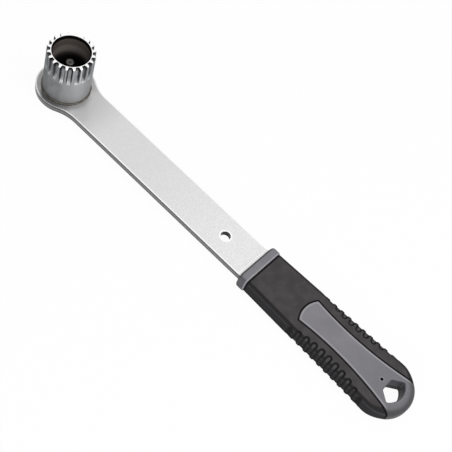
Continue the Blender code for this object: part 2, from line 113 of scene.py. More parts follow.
# Handle
HANDLE_START = 175.5 * MM
HANDLE_LENGTH = 129.5 * MM
HANDLE_THICKNESS = 11.8 * MM
GRIP_SIDE_WALL = 2.6 * MM
GRIP_FACE_WALL = 1.6 * MM
TAIL_RADIUS = 19.7 * MM
SIDE_EDGE_ROUND = 2.4 * MM
TAIL_EDGE_ROUND = 4.4 * MM
EDGE_REACH = 0.9 * MM
CORE_EDGE_ROUND = 0.8 * MM
COLLAR_LENGTH = 6.7 * MM
COLLAR_WALL = 2.0 * MM
COLLAR_PROUD = 0.7 * MM
COLLAR_FRONT_ROUND = 2.0 * MM
COLLAR_REAR_ROUND = 0.7 * MM
BAR_IN_COLLAR = 4.0 * MM

# Tang of the arm inside the handle
TANG_WIDTH = 20.0 * MM
TANG_LENGTH = 80.0 * MM
ANCHOR_DIAMETER = 8.0 * MM
ANCHOR_PITCH = 30.0 * MM
FIRST_ANCHOR = 22.0 * MM

# Inlay faces, tail loop and hang hole
INLAY_FROM_START = 42.5 * MM
INLAY_WAIST = 16.0 * MM
INLAY_WAIST_FROM_START = 71.5 * MM
INLAY_SIDE_RADIUS = 225.0 * MM
INLAY_TIP_RADIUS = 16.5 * MM
INLAY_CORNER = 0.8 * MM
INLAY_EDGE_ROUND = 0.45 * MM
INLAY_PROUD = 0.2 * MM
PARTING_WIDTH = 1.0 * MM
PARTING_DEPTH = 1.2 * MM
LOOP_WALL = 7.7 * MM
HANG_HOLE_FLAT = 9.1 * MM
HANG_HOLE_SPREAD = 18.6 * MM
HANG_HOLE_LENGTH = 11.0 * MM
HANG_HOLE_CORNER = 1.0 * MM
HANG_HOLE_EDGE_ROUND = 1.0 * MM
CUT_OVER = 0.05 * MM
PINHOLE_DIAMETER = 2.0 * MM
PINHOLE_DEPTH = 2.0 * MM
PINHOLE_FROM_HANG_HOLE = 4.7 * MM

# Finger grooves
GROOVE_COUNT = 12
GROOVE_PITCH = 5.88 * MM
GROOVES_PAST_WAIST = 0.6 * MM
GROOVE_WIDTH = 4.2 * MM
GROOVE_WALL = 0.9 * MM
GROOVE_DEPTH = 0.6 * MM
GROOVE_END = 12.6 * MM
GROOVE_END_RADIUS = 90.0 * MM

# What follows from the sizes above
BAR_HALF = BAR_WIDTH / 2
TANG_HALF = TANG_WIDTH / 2
SPLINE_RADIUS = SPLINE_DIAMETER / 2
SPLINE_ROOT_RADIUS = SPLINE_RADIUS - SPLINE_DEPTH
BORE_RADIUS = SPLINE_ROOT_RADIUS - RIM_LAND
HEAD_RADIUS = SPLINE_RADIUS + HEAD_RIM
PIN_RADIUS = PIN_DIAMETER / 2
ARM_MIDDLE = ARM_THICKNESS / 2
RIM_Z = ARM_THICKNESS + SOCKET_HEIGHT
SPLINE_FOOT = RIM_Z - SPLINE_LENGTH
PIN_TOP = RIM_Z - PIN_BELOW_RIM
SEAT_Z = ARM_THICKNESS + CLEARANCE
FLOOR_Z = SEAT_Z + SOCKET_FLOOR
HANDLE_HALF = HANDLE_THICKNESS / 2
HANDLE_TOP = ARM_MIDDLE + HANDLE_HALF
HANDLE_BOTTOM = ARM_MIDDLE - HANDLE_HALF
HANDLE_FRONT_HALF = BAR_HALF + COLLAR_WALL
HANDLE_END = HANDLE_START + HANDLE_LENGTH
TAIL_CENTRE = HANDLE_END - TAIL_RADIUS
COLLAR_END = HANDLE_START + COLLAR_LENGTH
TANG_START = HANDLE_START + BAR_IN_COLLAR
TANG_END = TANG_START + TANG_LENGTH
WAIST_X = HANDLE_START + INLAY_WAIST_FROM_START
HANG_ARC_RADIUS = TAIL_RADIUS - LOOP_WALL
HANG_HOLE_START = TAIL_CENTRE + HANG_ARC_RADIUS - HANG_HOLE_LENGTH
HOLE_PLACE = HANDLE_START - HOLE_FROM_HANDLE
INLAY_START = HANDLE_START + INLAY_FROM_START
PINHOLE_PLACE = HANG_HOLE_START - PINHOLE_FROM_HANG_HOLE
BELOW_HANDLE = HANDLE_BOTTOM - CUT_PAST
ABOVE_HANDLE = HANDLE_TOP + CUT_PAST


# Building blocks


def add_object(name, data):
    obj = bpy.data.objects.new(name, data)
    bpy.context.scene.collection.objects.link(obj)
    return obj


def add_cutter(name, mesh):
    """A helper body, which Booleans read and which is deleted once they are applied."""
    cutter = add_object(name, mesh)
    cutter["helper"] = True
    return cutter


def clear_cutters():
    for obj in [obj for obj in bpy.data.objects if obj.get("helper")]:
        bpy.data.objects.remove(obj, do_unlink=True)


def boolean(obj, operation, other):
    modifier = obj.modifiers.new(operation.lower(), "BOOLEAN")
    modifier.operation = operation
    modifier.solver = "EXACT"
    modifier.object = other


def bevel(obj, width, segments, angle):
    modifier = obj.modifiers.new("rounded edges", "BEVEL")
    modifier.width = width
    modifier.segments = segments
    modifier.limit_method = "ANGLE"
    modifier.angle_limit = radians(angle)
    modifier.use_clamp_overlap = True


def bake(obj, sharp_angle=40):
    """Turns the modifiers' result into a plain mesh, shaded smooth up to the given angle."""
    graph = bpy.context.evaluated_depsgraph_get()
    mesh = bpy.data.meshes.new_from_object(obj.evaluated_get(graph), depsgraph=graph)
    obj.modifiers.clear()
    obj.data = mesh
    mesh.name = obj.name
    mesh.shade_smooth()
    mesh.set_sharp_from_angle(angle=radians(sharp_angle))


def even_shading(obj):
    """Lets large flat faces keep their own normal next to small rounded ones."""
    modifier = obj.modifiers.new("face weighted normals", "WEIGHTED_NORMAL")
    modifier.keep_sharp = True
    modifier.weight = 100


def arc(centre, radius, start, end, steps):
    """Points along an arc. Angles are in radians."""
    turns = [start + (end - start) * step / steps for step in range(steps + 1)]
    return [(centre[0] + radius * cos(a), centre[1] + radius * sin(a)) for a in turns]


def circle(centre, diameter, steps):
    return arc(centre, diameter / 2, 0, 2 * pi, steps)[:-1]


def mirrored(half):
    """A closed outline from its upper half. Points on the X axis aren't repeated."""
    return half + [(x, -y) for x, y in reversed(half) if y > 1e-9]


def full_turn(steps):
    """Evenly spaced angles once round."""
    return [2 * pi * step / steps for step in range(steps)]


def between(first, last, steps):
    return [first + (last - first) * step / steps for step in range(steps + 1)]


def slab_mesh(name, outline, bottom, top, holes=()):
    """A flat outline with holes in it, extruded between two heights."""
    curve = bpy.data.curves.new(name, "CURVE")
    curve.dimensions = "2D"
    curve.fill_mode = "BOTH"
    curve.extrude = (top - bottom) / 2
    for loop in (outline, *holes):
        spline = curve.splines.new("POLY")
        spline.points.add(len(loop) - 1)
        for point, (x, y) in zip(spline.points, loop):
            point.co = (x, y, 0, 1)
        spline.use_cyclic_u = True
    guide = add_object(name + "_outline", curve)
    graph = bpy.context.evaluated_depsgraph_get()
    mesh = bpy.data.meshes.new_from_object(guide.evaluated_get(graph))
    mesh.transform(Matrix.Translation((0, 0, (top + bottom) / 2)))
    bpy.data.objects.remove(guide)
    shape = bmesh.new()
    shape.from_mesh(mesh)
    bmesh.ops.remove_doubles(shape, verts=shape.verts, dist=1e-7)
    bmesh.ops.dissolve_limit(shape, angle_limit=radians(0.1), verts=shape.verts, edges=shape.edges)
    bmesh.ops.recalc_face_normals(shape, faces=shape.faces)
    shape.to_mesh(mesh)
    shape.free()
    mesh.name = name
    return mesh


def finished_mesh(name, shape):
    """The mesh of a closed shape, with its faces turned outwards."""
    bmesh.ops.recalc_face_normals(shape, faces=shape.faces)
    mesh = bpy.data.meshes.new(name)
    shape.to_mesh(mesh)
    shape.free()
    return mesh


def net_mesh(name, rings, closed=False, marks=None):
    """Skins closed rings. An open run of rings is capped, and marks are values kept at each ring."""
    shape = bmesh.new()
    layers = {key: shape.verts.layers.float.new(key) for key in (marks or {})}
    loops = []
    for number, ring in enumerate(rings):
        loop = [shape.verts.new(point) for point in ring]
        for key, layer in layers.items():
            for corner, value in zip(loop, marks[key][number]):
                corner[layer] = value
        loops.append(loop)
    pairs = list(zip(loops, loops[1:])) + ([(loops[-1], loops[0])] if closed else [])
    for lower, upper in pairs:
        for i, corner in enumerate(lower):
            j = (i + 1) % len(lower)
            shape.faces.new((corner, lower[j], upper[j], upper[i]))
    if not closed:
        shape.faces.new(reversed(loops[0]))
        shape.faces.new(loops[-1])
    return finished_mesh(name, shape)


def turned_mesh(name, profile, steps):
    """A profile of (radius, height) points turned about Z, which starts and ends on the axis."""
    turns = full_turn(steps)
    shape = bmesh.new()
    rings = []
    for radius, height in profile:
        if radius == 0:
            rings.append([shape.verts.new((0, 0, height))] * steps)
        else:
            rings.append([shape.verts.new((radius * cos(a), radius * sin(a), height)) for a in turns])
    for lower, upper in zip(rings, rings[1:]):
        for i in range(steps):
            j = (i + 1) % steps
            corners = list(dict.fromkeys((lower[i], lower[j], upper[j], upper[i])))
            shape.faces.new(corners)
    return finished_mesh(name, shape)


# Node trees


class Output:
    """A node's output. Numbers among them work together by + - * and /, as in plain arithmetic."""

    def __init__(self, node, key=0):
        self.socket = node.outputs[key]
        self.tree = node.id_data

    def __add__(self, other):
        return maths("ADD", self, other)

    def __radd__(self, other):
        return maths("ADD", other, self)

    def __sub__(self, other):
        return maths("SUBTRACT", self, other)

    def __rsub__(self, other):
        return maths("SUBTRACT", other, self)

    def __mul__(self, other):
        return maths("MULTIPLY", self, other)

    def __truediv__(self, other):
        return maths("DIVIDE", self, other)

    def __rtruediv__(self, other):
        return maths("DIVIDE", other, self)


def add_node(tree, kind, inputs=None, **settings):
    """A node whose inputs, by name or number, take a plain value or another node's output."""
    node = tree.nodes.new(kind)
    for key, value in settings.items():
        setattr(node, key, value)
    for key, value in (inputs or {}).items():
        if isinstance(value, Output):
            tree.links.new(value.socket, node.inputs[key])
        else:
            node.inputs[key].default_value = value
    return node


def maths(operation, *values, clamp=False):
    """A maths node on numbers, of which at least one is another node's output."""
    tree = next(value.tree for value in values if isinstance(value, Output))
    inputs = dict(enumerate(values))
    return Output(add_node(tree, "ShaderNodeMath", inputs, operation=operation, use_clamp=clamp))


def distance(across, along):
    return maths("SQRT", across * across + along * along)


def chosen(share, first, second):
    """The first value where share is 0, and the second where it is 1."""
    return first + share * (second - first)


def ramp(value, low, high):
    """0 below low and 1 above high, or the other way round where low is the larger."""
    ends = {"From Min": low, "From Max": high, "To Min": 0.0, "To Max": 1.0}
    if isinstance(high, float) and low > high:
        ends = {"From Min": high, "From Max": low, "To Min": 1.0, "To Max": 0.0}
    inputs = {"Value": value, **ends}
    return Output(add_node(value.tree, "ShaderNodeMapRange", inputs, interpolation_type="SMOOTHSTEP"))


def band(value, low, high, soft):
    """1 between low and high, with soft ends outside them."""
    return ramp(value, low - soft, low) * ramp(value, high + soft, high)


def spread(value, low, high):
    """Stretches a 0 to 1 value over a range of numbers."""
    inputs = {"Value": value, "To Min": low, "To Max": high}
    return Output(add_node(value.tree, "ShaderNodeMapRange", inputs))


def as_colour(value):
    """A colour is given by three numbers, by one number for a grey, or by another node's output."""
    if isinstance(value, float):
        value = (value, value, value)
    return value if isinstance(value, Output) else (*value, 1.0)


def mix(share, first, second):
    """A colour between two others."""
    inputs = {0: share, 6: as_colour(first), 7: as_colour(second)}
    return Output(add_node(share.tree, "ShaderNodeMix", inputs, data_type="RGBA"), 2)


def separated(vector):
    node = add_node(vector.tree, "ShaderNodeSeparateXYZ", {0: vector})
    return [Output(node, key) for key in range(3)]


SOCKET_KINDS = {
    "Geometry": "NodeSocketGeometry",
    "Finish": "NodeSocketMaterial",
    "Vector": "NodeSocketVector",
    "Normal": "NodeSocketVector",
}


def new_group(name, inputs, outputs, kind="ShaderNodeTree"):
    """A node group. Its sockets are numbers, apart from the names in SOCKET_KINDS."""
    tree = bpy.data.node_groups.new(name, kind)
    for title, value in inputs.items():
        socket_kind = SOCKET_KINDS.get(title, "NodeSocketFloat")
        socket = tree.interface.new_socket(title, in_out="INPUT", socket_type=socket_kind)
        if value is not None:
            socket.default_value = value
    for title in outputs:
        socket_kind = SOCKET_KINDS.get(title, "NodeSocketFloat")
        tree.interface.new_socket(title, in_out="OUTPUT", socket_type=socket_kind)
    source = add_node(tree, "NodeGroupInput")
    return tree, {title: Output(source, title) for title in inputs}


def put_out(tree, results):
    add_node(tree, "NodeGroupOutput", results)
    return tree


# Geometry Nodes: the spline's gaps and the grip's finger grooves


def mesh_attribute(tree, name):
    return Output(add_node(tree, "GeometryNodeInputNamedAttribute", {"Name": name}, data_type="FLOAT"))


def vector_maths(vector, operation, output="Vector", **inputs):
    node = add_node(vector.tree, "ShaderNodeVectorMath", {0: vector, **inputs}, operation=operation)
    return Output(node, output)


def sink(tree, given, direction, depth):
    """Ends a tree: the surface moves by the depth against the direction and gets its finish."""
    offset = vector_maths(direction, "SCALE", Scale=depth * -1.0)
    moved = add_node(tree, "GeometryNodeSetPosition", {"Geometry": given["Geometry"], "Offset": offset})
    real = add_node(tree, "GeometryNodeRealizeInstances", {0: Output(moved)})
    inputs = {"Geometry": Output(real), "Material": given["Finish"]}
    return put_out(tree, {"Geometry": Output(add_node(tree, "GeometryNodeSetMaterial", inputs))})


def run_tree(obj, tree, values):
    """Adds a Geometry Nodes modifier and sets its inputs by their identifiers."""
    modifier = obj.modifiers.new(tree.name, "NODES")
    modifier.node_group = tree
    for item in tree.interface.items_tree:
        if item.item_type == "SOCKET" and item.in_out == "INPUT" and item.name in values:
            modifier[item.identifier] = values[item.name]


def spline_gap_sizes():
    """What is cut away between the teeth follows from their widths at tip and root."""
    pitch = 2 * pi / SPLINE_COUNT
    root_gap = SPLINE_ROOT_RADIUS * pitch - TOOTH_ROOT_WIDTH
    tip_gap = SPLINE_RADIUS * pitch - TOOTH_TIP_WIDTH
    return {
        "Teeth": float(SPLINE_COUNT),
        "Outer Radius": SPLINE_RADIUS,
        "Depth": SPLINE_DEPTH,
        "Root Half Gap": root_gap / 2,
        "Flank Slope": (tip_gap - root_gap) / 2 / SPLINE_DEPTH,
        "Straight End": SPLINE_FOOT + RUN_OUT_RADIUS * sin(acos(1 - SPLINE_DEPTH / RUN_OUT_RADIUS)),
        "Run Out Radius": RUN_OUT_RADIUS,
        "Corner Round": GAP_CORNER_ROUND,
    }


def spline_gap_tree():
    """Sinks evenly spaced gaps into a turned wall. Each gap runs out upwards in an arc at its foot."""
    inputs = {"Geometry": None, **spline_gap_sizes(), "Finish": None}
    tree, given = new_group("spline_gaps", inputs, ["Geometry"], "GeometryNodeTree")
    x, y, z = separated(Output(add_node(tree, "GeometryNodeInputPosition")))
    teeth = maths("ARCTAN2", y, x) / (2 * pi) * given["Teeth"]
    from_gap = maths("ABSOLUTE", maths("FRACT", teeth) - 0.5)
    pitch = given["Outer Radius"] * (2 * pi) / given["Teeth"]
    past_root = from_gap * pitch - given["Root Half Gap"]
    below = maths("MAXIMUM", given["Straight End"] - z, 0.0)
    run_out = given["Run Out Radius"]
    left = maths("MAXIMUM", run_out * run_out - below * below, 0.0)
    rise = run_out - maths("SQRT", left)
    flank = maths("SMOOTH_MAX", past_root, 0.0, given["Corner Round"])
    cut = given["Depth"] - rise - flank / given["Flank Slope"]
    cut = maths("SMOOTH_MAX", cut, 0.0, given["Corner Round"])
    flat_place = Output(add_node(tree, "ShaderNodeCombineXYZ", {0: x, 1: y, 2: 0.0}))
    chamfered = given["Outer Radius"] - vector_maths(flat_place, "LENGTH", "Value")
    cut = maths("MAXIMUM", cut - chamfered, 0.0) * mesh_attribute(tree, "wall")
    return sink(tree, given, vector_maths(flat_place, "NORMALIZE"), cut)


# The row of finger grooves, and the cut that sinks it
GROOVE_ROW = {
    "Count": float(GROOVE_COUNT),
    "Pitch": GROOVE_PITCH,
    "Middle": WAIST_X + GROOVES_PAST_WAIST,
    "Width": GROOVE_WIDTH,
    "End": GROOVE_END,
    "End Radius": GROOVE_END_RADIUS,
}
GROOVE_CUT = {**GROOVE_ROW, "Wall": GROOVE_WALL, "Depth": GROOVE_DEPTH}


def inside_groove(x, travel, given):
    """How far inside the nearest groove's round-ended outline. The ends lie on an arc along the grip."""
    along = (x - given["Middle"]) / given["Pitch"]
    last = (given["Count"] - 1.0) / 2.0
    number = maths("MINIMUM", maths("FLOOR", along) + 0.5, last)
    number = maths("MAXIMUM", number, last * -1.0)
    local = (along - number) * given["Pitch"]
    centre = number * given["Pitch"]
    reach = given["End Radius"]
    rise = reach - maths("SQRT", reach * reach - centre * centre)
    half = given["Width"] / 2.0
    nose = given["End"] + rise + half
    return half - distance(local, maths("MAXIMUM", nose - travel, 0.0))


def finger_groove_tree():
    """Sinks a row of round-ended grooves with soft walls into the grip."""
    inputs = {"Geometry": None, **GROOVE_CUT, "Finish": None}
    tree, given = new_group("finger_grooves", inputs, ["Geometry"], "GeometryNodeTree")
    place = separated(Output(add_node(tree, "GeometryNodeInputPosition")))
    inside = inside_groove(place[0], mesh_attribute(tree, "travel"), given)
    depth = ramp(inside, 0.0, given["Wall"]) * given["Depth"]
    return sink(tree, given, Output(add_node(tree, "GeometryNodeInputNormal")), depth)


# Shader groups


def fine_grain_group():
    """Even grain with a slow mottle under it, as on plated, moulded and cast surfaces."""
    inputs = {"Vector": None, "Grain Size": 0.3 * MM, "Mottle Size": 8 * MM}
    tree, given = new_group("fine_grain", inputs, ["Height", "Mottle"])
    noises = {}
    for title, size, detail in (("Height", "Grain Size", 3.0), ("Mottle", "Mottle Size", 5.0)):
        values = {"Vector": given["Vector"], "Scale": 1.0 / given[size], "Detail": detail}
        noises[title] = Output(add_node(tree, "ShaderNodeTexNoise", values))
    return put_out(tree, noises)


def face_side_group():
    """How upright the normal is, with masks for flat faces, for upright walls and for what is between."""
    tree, given = new_group("face_side", {"Normal": None}, ["Upright", "Flat", "Edge", "Wall"])
    upright = maths("ABSOLUTE", separated(given["Normal"])[2])
    flat = ramp(upright, 0.93, 0.99)
    wall = ramp(upright, 0.55, 0.35)
    edge = maths("SUBTRACT", 1.0 - flat, wall, clamp=True)
    return put_out(tree, {"Upright": upright, "Flat": flat, "Edge": edge, "Wall": wall})


def arm_place_group():
    """Distance from the socket's axis, height over the arm's back, and place along and across the arm."""
    tree, given = new_group("arm_place", {"Vector": None}, ["Radius", "Height", "Along", "Across"])
    x, y, z = separated(given["Vector"])
    return put_out(tree, {"Radius": distance(x, y), "Height": z, "Along": x, "Across": y})


INLAY_PLAN = {
    "Waist Place": WAIST_X,
    "Waist Width": INLAY_WAIST,
    "Side Radius": INLAY_SIDE_RADIUS,
    "Tip Place": INLAY_START,
    "Tip Radius": INLAY_TIP_RADIUS,
}


def inlay_edge_group():
    """How far a place lies outside the inlay's outline, seen from above. Inside, it is negative."""
    tree, given = new_group("inlay_edge", {"Vector": None, **INLAY_PLAN}, ["Outside"])
    x, y, _ = separated(given["Vector"])
    sideways = maths("ABSOLUTE", y)
    side_centre = given["Waist Width"] / 2.0 + given["Side Radius"]
    from_side = distance(x - given["Waist Place"], side_centre - sideways)
    past_side = given["Side Radius"] - from_side
    before_tip = given["Tip Place"] + given["Tip Radius"] - x
    from_tip = distance(maths("MAXIMUM", before_tip, 0.0), sideways)
    past_tip = (from_tip - given["Tip Radius"]) * maths("GREATER_THAN", before_tip, 0.0)
    past_tip = past_tip - maths("LESS_THAN", before_tip, 0.0)
    return put_out(tree, {"Outside": maths("MAXIMUM", past_side, past_tip)})


def groove_mark_group():
    """How far a place lies inside a finger groove's outline. Outside them all, it is negative."""
    tree, given = new_group("groove_mark", {"Vector": None, **GROOVE_ROW}, ["Inside"])
    x, y, _ = separated(given["Vector"])
    return put_out(tree, {"Inside": inside_groove(x, maths("ABSOLUTE", y), given)})


ARM_PLAN = {"Bar Half": BAR_HALF, "Head Radius": HEAD_RADIUS, "Neck Fillet": NECK_FILLET}


def arm_edge_group():
    """How far a place lies inside the arm's outline, seen from above."""
    tree, given = new_group("arm_edge", {"Vector": None, **ARM_PLAN}, ["Inside"])
    x, y, _ = separated(given["Vector"])
    sideways = maths("ABSOLUTE", y)
    neck_y = given["Bar Half"] + given["Neck Fillet"]
    reach = given["Head Radius"] + given["Neck Fillet"]
    neck_x = maths("SQRT", reach * reach - neck_y * neck_y)
    before = neck_x - x
    in_head = given["Head Radius"] - distance(x, y)
    in_neck = distance(before, neck_y - sideways) - given["Neck Fillet"]
    in_bar = given["Bar Half"] - sideways
    at_neck = maths("LESS_THAN", sideways * neck_x, x * neck_y)
    inside = chosen(at_neck, in_head, in_neck)
    return put_out(tree, {"Inside": chosen(maths("LESS_THAN", before, 0.0), inside, in_bar)})


FINE_GRAIN = fine_grain_group()
FACE_SIDE = face_side_group()
ARM_PLACE = arm_place_group()
INLAY_EDGE = inlay_edge_group()
GROOVE_MARK = groove_mark_group()
ARM_EDGE = arm_edge_group()


class Finish:
    """A material under construction, with its Principled BSDF and the groups it uses at hand."""

    def __init__(self, name, metallic, grain, mottle, specular=0.5):
        self.material = bpy.data.materials.new(name)
        self.material.use_nodes = True
        self.tree = self.material.node_tree
        self.shader = self.tree.nodes["Principled BSDF"]
        self.shader.inputs["Metallic"].default_value = metallic
        self.shader.inputs["Specular IOR Level"].default_value = specular
        self.coordinates = Output(add_node(self.tree, "ShaderNodeTexCoord"), "Object")
        self.grain = self.on_place(FINE_GRAIN, {"Grain Size": grain, "Mottle Size": mottle})

    def group(self, tree, inputs):
        node = add_node(self.tree, "ShaderNodeGroup", inputs, node_tree=tree)
        return {socket.name: Output(node, socket.name) for socket in node.outputs}

    def on_place(self, tree, sizes):
        return self.group(tree, {"Vector": self.coordinates, **sizes})

    @cached_property
    def place(self):
        return self.on_place(ARM_PLACE, {})

    @cached_property
    def sides(self):
        normal = Output(add_node(self.tree, "ShaderNodeNewGeometry"), "Normal")
        return self.group(FACE_SIDE, {"Normal": normal})

    def from_point(self, along):
        """The distance, seen from above, from a point on the handle's middle line."""
        return distance(self.place["Along"] - along, self.place["Across"])

    def feed(self, name, value):
        self.tree.links.new(value.socket, self.shader.inputs[name])

    def relief(self, height, depth, strength):
        inputs = {"Height": height, "Distance": depth, "Strength": strength}
        self.feed("Normal", Output(add_node(self.tree, "ShaderNodeBump", inputs)))


# Finishes


def satin_plate():
    """The arm: light satin plating, glossy and heat-tinted round the socket. Painted light and shade: a
    sheen towards the handle, shade and the socket's reflection round the socket, highlights along its
    edges, at the collar and round the hole, dark walls and a near black hole wall.
    """
    finish = Finish("satin_plate", metallic=0.45, grain=0.7 * MM, mottle=6 * MM)
    mottle, sides, place = finish.grain["Mottle"], finish.sides, finish.place
    # Painted sheen: the plating is painted lighter towards the handle, in place of a reflection of the
    # light.
    painted_sheen_to_handle = ramp(place["Along"], 60 * MM, 165 * MM)
    plain = mix(painted_sheen_to_handle, (0.75, 0.745, 0.75), (0.86, 0.855, 0.865))
    specks = ramp(finish.grain["Height"], 0.62, 0.38) * 0.5
    plain = mix(specks, plain, (0.65, 0.65, 0.655))
    # Painted shade and reflection: the plate darkens towards the socket.
    painted_shade_near_head = ramp(place["Radius"], 50 * MM, 18 * MM)
    plain = mix(painted_shade_near_head * 0.8, plain, (0.50, 0.50, 0.505))
    tint = ramp(place["Radius"], 21 * MM, 16.5 * MM) * ramp(mottle, 0.35, 0.6)
    tinted = mix(tint * 0.6, plain, (0.36, 0.31, 0.275))
    # The plate is glossier round the socket, and its colour there is darkened as a painted reflection of
    # the socket.
    mirror = ramp(place["Radius"], 30 * MM, 19 * MM) * ramp(place["Along"], 21 * MM, 9 * MM)
    tinted = mix(mirror * 0.4, tinted, (0.20, 0.20, 0.205))
    # Painted shade: darker round the socket's foot on its near side.
    painted_foot_shade = ramp(place["Radius"], 22.5 * MM, 18.5 * MM) * ramp(place["Across"], 4 * MM, -8 * MM)
    tinted = mix(painted_foot_shade * 0.45, tinted, (0.16, 0.155, 0.155))
    # Painted highlights: white along the arm's top edges, on its rounded edges, on a band by the collar and
    # round the hole's rim.
    inside = finish.on_place(ARM_EDGE, ARM_PLAN)["Inside"]
    painted_outline_highlight = ramp(inside, 1.0 * MM, 0.7 * MM) * (1.0 - mirror * 0.5)
    painted_collar_light = band(place["Along"], HANDLE_START - 2.4 * MM, HANDLE_START - 0.2 * MM, 0.2 * MM)
    from_rim = finish.from_point(HOLE_PLACE) - HOLE_DIAMETER / 2
    hole_highlight_and_shade = ramp(from_rim, 1.25 * MM, 0.85 * MM)
    painted_edge_highlights = maths("MAXIMUM", maths("MAXIMUM", painted_outline_highlight, painted_collar_light), sides["Edge"])
    highlighted = mix(maths("MAXIMUM", painted_edge_highlights, hole_highlight_and_shade), tinted, 1.0)
    # Painted shade: the side walls are dark, with a lighter band halfway up, and the hole's wall is near
    # black.
    mid_wall_band = band(place["Height"], 1.5 * MM, 2.5 * MM, 0.7 * MM)
    wall = mix(mid_wall_band * 0.5, 0.11, 0.32)
    wall = mix(hole_highlight_and_shade, wall, 0.03)
    finish.feed("Base Color", mix(sides["Wall"], highlighted, wall))
    finish.feed("Metallic", 0.45 + mirror * 0.45)
    finish.feed("Roughness", spread(mottle, 0.26, 0.36) - mirror * 0.12)
    finish.relief(finish.grain["Height"], 0.02 * MM, 0.35)
    return finish.material


def turned_steel():
    """The socket: grey turned steel, bright on the ground rim, with a brown heat-scaled bore. Painted light
    and shade: its gaps dark under the rim, its side towards the handle lighter, its bore near black deep
    down and at its mouth, with a lighter band part way down.
    """
    finish = Finish("turned_steel", metallic=1.0, grain=0.3 * MM, mottle=5 * MM)
    finish.shader.inputs["Specular Tint"].default_value = (0.4, 0.4, 0.4, 1.0)
    grain, radius, height = finish.grain, finish.place["Radius"], finish.place["Height"]
    inputs = {"W": height * TURNED_LINES_PER_METRE, "Scale": 1.0, "Detail": 2.0}
    lines = Output(add_node(finish.tree, "ShaderNodeTexNoise", inputs, noise_dimensions="1D"))
    body = mix(ramp(grain["Mottle"], 0.3, 0.7), (0.235, 0.24, 0.245), (0.30, 0.305, 0.31))
    # Painted light: the body is lighter on its side towards the handle.
    body = mix(ramp(finish.place["Along"], 4 * MM, 16 * MM), body, (0.42, 0.425, 0.43))
    in_gap = ramp(radius, SPLINE_RADIUS - 0.15 * MM, SPLINE_RADIUS - 0.6 * MM)
    deep = ramp(radius, SPLINE_RADIUS - 1.3 * MM, SPLINE_RADIUS - 2.0 * MM)
    # Painted shade: the gaps are near black in their top 1.2 mm, fading to grey by 4.5 mm under the rim.
    low = ramp(height, RIM_Z - 1.2 * MM, RIM_Z - 4.5 * MM)
    root = mix(low, 0.04, (0.31, 0.32, 0.33))
    flank = mix(low, 0.05, (0.23, 0.235, 0.24))
    run_out = ramp(height, SPLINE_FOOT + 4.0 * MM, SPLINE_FOOT + 2.5 * MM)
    cut = mix(maths("MAXIMUM", deep, run_out), flank, root)
    body = mix(in_gap, body, cut)
    high = ramp(height, RIM_Z - 0.6 * MM, RIM_Z - 0.35 * MM)
    top = high * ramp(finish.sides["Upright"], 0.45, 0.65)
    bright = mix(top, body, 0.95)
    past_mouth = radius - (BORE_RADIUS + BORE_CHAMFER)
    inside = ramp(past_mouth, 0.22 * MM, 0.06 * MM)
    # The bore is brown and heat-scaled; painted shade makes it near black deep down and near black metal at
    # its mouth, and a painted band of light lies part way down.
    above = ramp(height, RIM_Z - 20 * MM, RIM_Z - 13 * MM)
    heat_scale_and_painted_shade = mix(above, (0.010, 0.008, 0.008), (0.105, 0.088, 0.077))
    glow = band(height, RIM_Z - 12.5 * MM, RIM_Z - 10.5 * MM, 4 * MM)
    heat_scale_and_painted_shade = mix(glow, heat_scale_and_painted_shade, (0.22, 0.195, 0.178))
    mouth = ramp(height, RIM_Z - 3.0 * MM, RIM_Z - 1.4 * MM)
    heat_scale_and_painted_shade = mix(mouth, heat_scale_and_painted_shade, 0.003)
    finish.feed("Base Color", mix(inside, bright, heat_scale_and_painted_shade))
    finish.feed("Metallic", 1.0 - inside * (1.0 - mouth))
    plain_foot = ramp(height, SPLINE_FOOT, SPLINE_FOOT - 2 * MM)
    finish.feed("Roughness", spread(lines, 0.3, 0.42) + plain_foot * 0.18)
    finish.relief(lines + grain["Height"] * 0.6, 0.01 * MM, 0.4)
    return finish.material


def pin_steel():
    """The guide pin: dull grey steel, darker with depth and in its dimple as painted shade."""
    finish = Finish("pin_steel", metallic=1.0, grain=0.3 * MM, mottle=3 * MM)
    shade = ramp(finish.place["Height"], PIN_TOP - 1.5 * MM, PIN_TOP)
    base = mix(shade, (0.012, 0.011, 0.010), (0.10, 0.096, 0.094))
    # Painted shade in the dimple.
    dimple = ramp(finish.place["Radius"], PIN_DIMPLE_DIAMETER / 2, PIN_DIMPLE_DIAMETER / 4)
    finish.feed("Base Color", mix(dimple, base, (0.05, 0.048, 0.046)))
    finish.feed("Roughness", spread(finish.grain["Mottle"], 0.38, 0.55))
    finish.relief(finish.grain["Height"], 0.02 * MM, 0.3)
    return finish.material


def heat_dark_braze():
    """The bead: brown braze metal, mottled by the heat."""
    finish = Finish("heat_dark_braze", metallic=1.0, grain=0.6 * MM, mottle=4 * MM)
    mottle = finish.grain["Mottle"]
    finish.feed("Base Color", mix(ramp(mottle, 0.35, 0.65), (0.085, 0.078, 0.067), (0.15, 0.138, 0.118)))
    finish.feed("Roughness", spread(mottle, 0.35, 0.6))
    finish.relief(finish.grain["Height"], 0.06 * MM, 0.6)
    return finish.material


